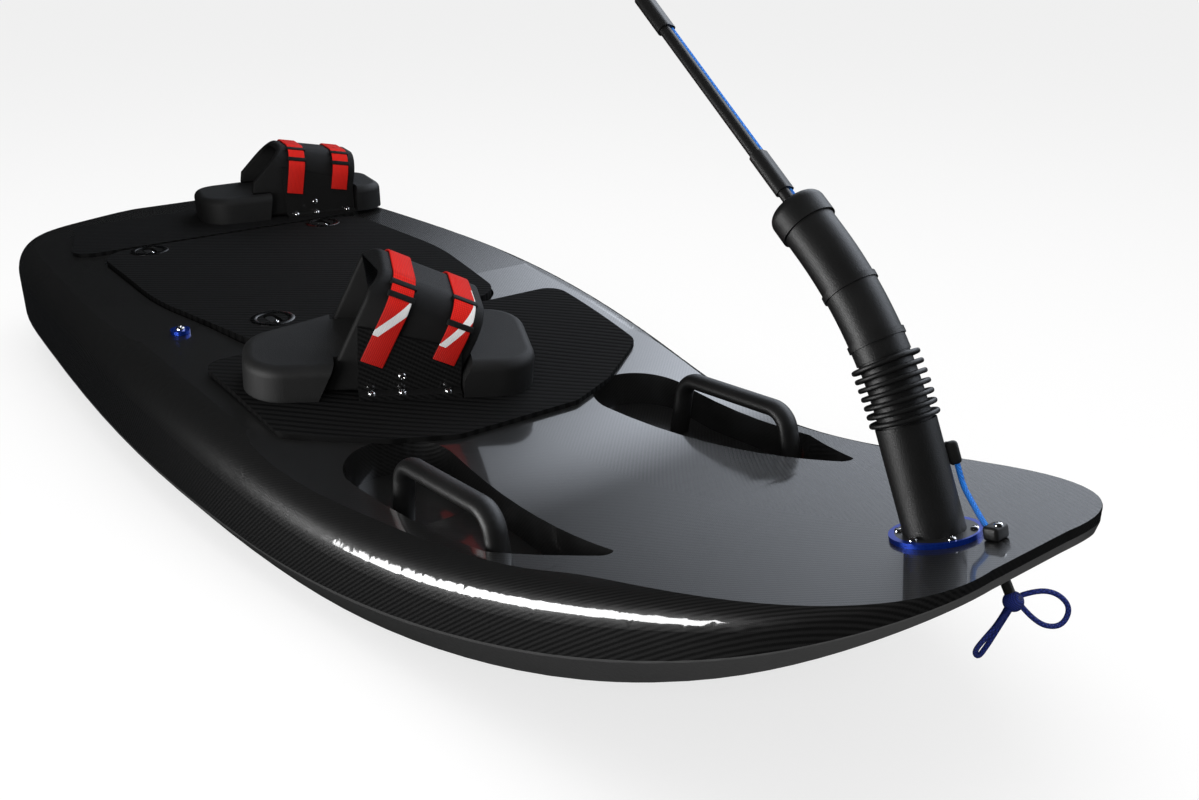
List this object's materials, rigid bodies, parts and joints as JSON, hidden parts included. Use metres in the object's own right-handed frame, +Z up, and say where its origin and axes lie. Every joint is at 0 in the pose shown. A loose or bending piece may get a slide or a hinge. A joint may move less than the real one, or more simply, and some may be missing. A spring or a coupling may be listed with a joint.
{
  "type": "motorized surfboard",
  "caption": "Jet-driven carbon surfboard with lift-off deck hatch, strapped foot bindings, grab handles and a hand throttle line on a bow pole.",
  "frame": {"origin": "on the floor, under the middle of the hull's length and beam", "axes": "+X towards the bow, +Y to port, +Z up"},
  "size_m": [1.8198, 0.6602, 0.7097],
  "materials": {
    "carbon_gloss": "glossy clear-coated carbon twill",
    "bottom_grey": "satin grey gelcoat",
    "grip_foam": "fine-ribbed foam grip pad",
    "binding_foam": "matte moulded foam",
    "arch_neoprene": "padded neoprene",
    "plate_carbon": "glossy carbon plate",
    "strap_red": "red webbing",
    "handle_rubber": "satin moulded rubber",
    "anodized_blue": "blue anodized aluminium",
    "hose_rubber": "satin black rubber",
    "cable_black": "black cable sheath",
    "cord_blue": "braided blue cord",
    "rope_navy": "braided navy cord",
    "black_plastic": "matte black moulding",
    "latch_metal": "polished steel",
    "cast_grey": "cast aluminium",
    "impeller_metal": "machined steel",
    "unit_grey": "sealed grey housing"
  },
  "bodies": {
    "board": {"hull_bottom": "bottom_grey", "deck_shell": "carbon_gloss", "power_unit": "unit_grey", "front_pad": "grip_foam", "stern_pad": "grip_foam", "deck_plug": "anodized_blue", "front_binding_bed": "binding_foam", "front_binding_arch": "arch_neoprene", "front_binding_plates": "plate_carbon", "front_binding_straps": "strap_red", "rear_binding_bed": "binding_foam", "rear_binding_arch": "arch_neoprene", "rear_binding_plates": "plate_carbon", "rear_binding_straps": "strap_red", "grab_handle_port": "handle_rubber", "grab_handle_starboard": "handle_rubber", "pole_flange": "anodized_blue", "pole_base_tube": "hose_rubber", "pole_bellows": "hose_rubber", "pole_hose": "hose_rubber", "pole_cap": "hose_rubber", "cord_ear": "black_plastic", "cord_clamp": "black_plastic", "lower_cord": "cord_blue", "control_cable": "cable_black", "safety_line": "cord_blue", "cable_sleeves": "black_plastic", "throttle_grip": "handle_rubber", "throttle_trigger": "black_plastic", "bow_eye": "black_plastic", "bow_knot": "rope_navy", "bow_loop_long": "rope_navy", "bow_loop_short": "rope_navy", "bow_rope_end": "rope_navy", "jet_nozzle": "cast_grey", "intake_grate": "cast_grey", "tail_fins": "black_plastic"},
    "hatch": {"hatch_lid": "grip_foam", "hatch_latches": "latch_metal"},
    "jet_rotor": {"impeller": "impeller_metal"}
  },
  "joints": [
    {"name": "hatch_lift", "type": "slide", "parent": "board", "child": "hatch", "axis": [0, 0, 1], "range_m": [0, 0.12]},
    {"name": "impeller_spin", "type": "hinge", "parent": "board", "child": "jet_rotor", "pos_m": [-0.7406, 0, 0.07], "axis": [1, 0, 0], "continuous": true}
  ]
}
